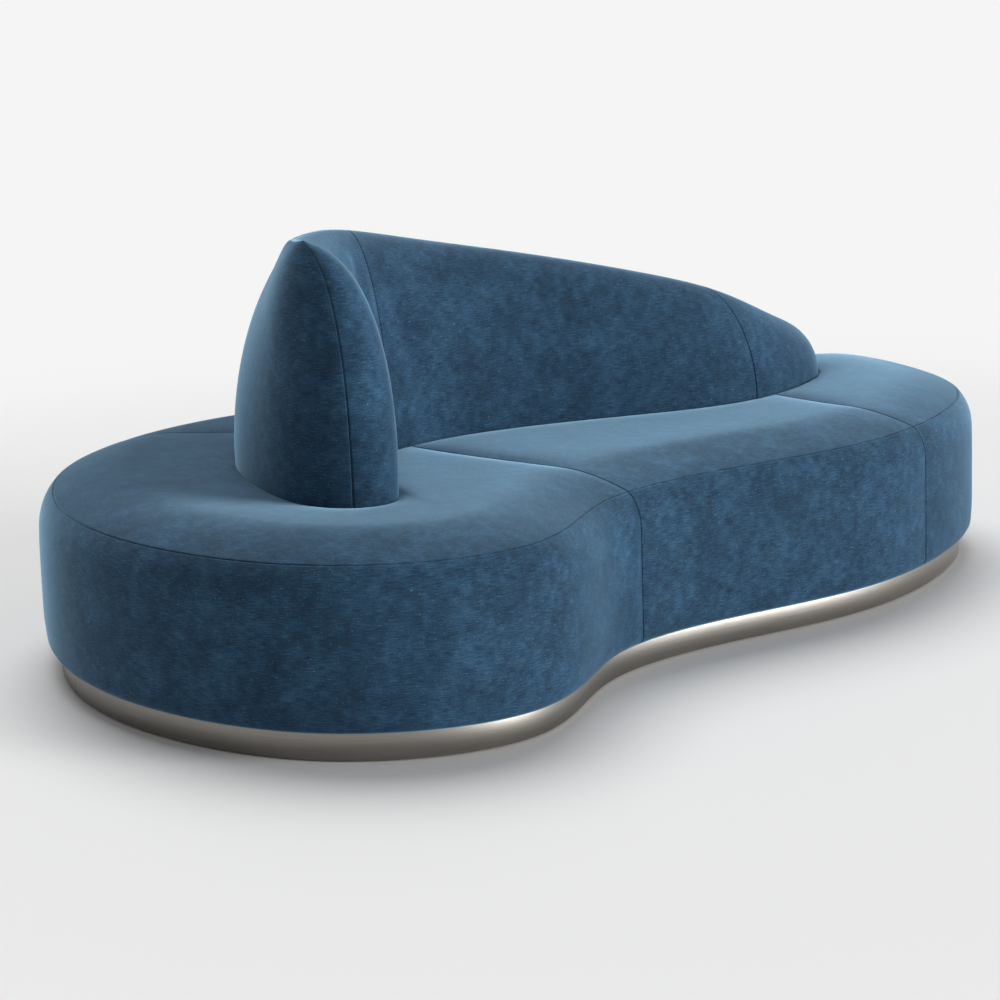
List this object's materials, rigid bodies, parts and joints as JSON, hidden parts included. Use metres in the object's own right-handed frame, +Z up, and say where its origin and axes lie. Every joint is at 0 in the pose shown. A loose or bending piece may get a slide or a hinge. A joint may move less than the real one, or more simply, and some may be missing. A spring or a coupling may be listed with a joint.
{
  "type": "island sofa",
  "caption": "Free-form two-sided island sofa: curved upholstered seat on a recessed metal plinth, with one fin-shaped back that falls away along its length.",
  "frame": {"origin": "centre of the sofa's bounding box in plan, on the floor under the glides", "axes": "+X along the length, from the high lobe to the low far lobe; +Y towards the rear side; +Z up"},
  "size_m": [2.6, 1.67, 0.97],
  "materials": {
    "cover_fabric": "woven melange chenille, soft nap",
    "plinth_metal": "satin brushed, gunmetal tone",
    "plywood": "raw birch plywood",
    "solid_wood": "planed raw wood",
    "foam": "open-cell foam",
    "webbing": "woven elastic strap",
    "dust_cloth": "non-woven",
    "zinc_steel": "bright zinc plated",
    "glide_plastic": "moulded nylon"
  },
  "bodies": {
    "root": {"glides": "glide_plastic", "plinth_ring": "plywood", "plinth_crossbars": "plywood", "plinth_band_front": "plinth_metal", "plinth_band_rear": "plinth_metal", "plinth_screws": "zinc_steel", "base_deck_near": "plywood", "base_deck_far": "plywood", "dust_cover": "dust_cloth", "seat_ribs_front": "plywood", "seat_ribs_rear": "plywood", "spine_board_front": "solid_wood", "spine_board_rear": "solid_wood", "side_skin_front": "plywood", "side_skin_rear": "plywood", "deck_splices": "solid_wood", "top_deck_near": "plywood", "top_deck_far": "plywood", "webbing_cross": "webbing", "webbing_long": "webbing", "seat_foam_near": "foam", "seat_foam_far": "foam", "seat_topper": "foam", "side_foam": "foam", "back_base_plate": "plywood", "back_bolts": "zinc_steel", "back_washers": "zinc_steel", "back_nuts": "zinc_steel", "back_ribs": "plywood", "back_bay_boards": "solid_wood", "back_brackets": "zinc_steel", "back_foam_front": "foam", "back_foam_rear": "foam", "seat_side_cover_near": "cover_fabric", "seat_side_cover_front": "cover_fabric", "seat_side_cover_far": "cover_fabric", "seat_side_cover_rear": "cover_fabric", "seat_top_cover_near": "cover_fabric", "seat_top_cover_front": "cover_fabric", "seat_top_cover_far": "cover_fabric", "seat_top_cover_rear": "cover_fabric", "back_cover_near": "cover_fabric", "back_cover_edge": "cover_fabric", "back_cover_front": "cover_fabric", "back_cover_far": "cover_fabric", "back_cover_rear": "cover_fabric"}
  },
  "joints": []
}
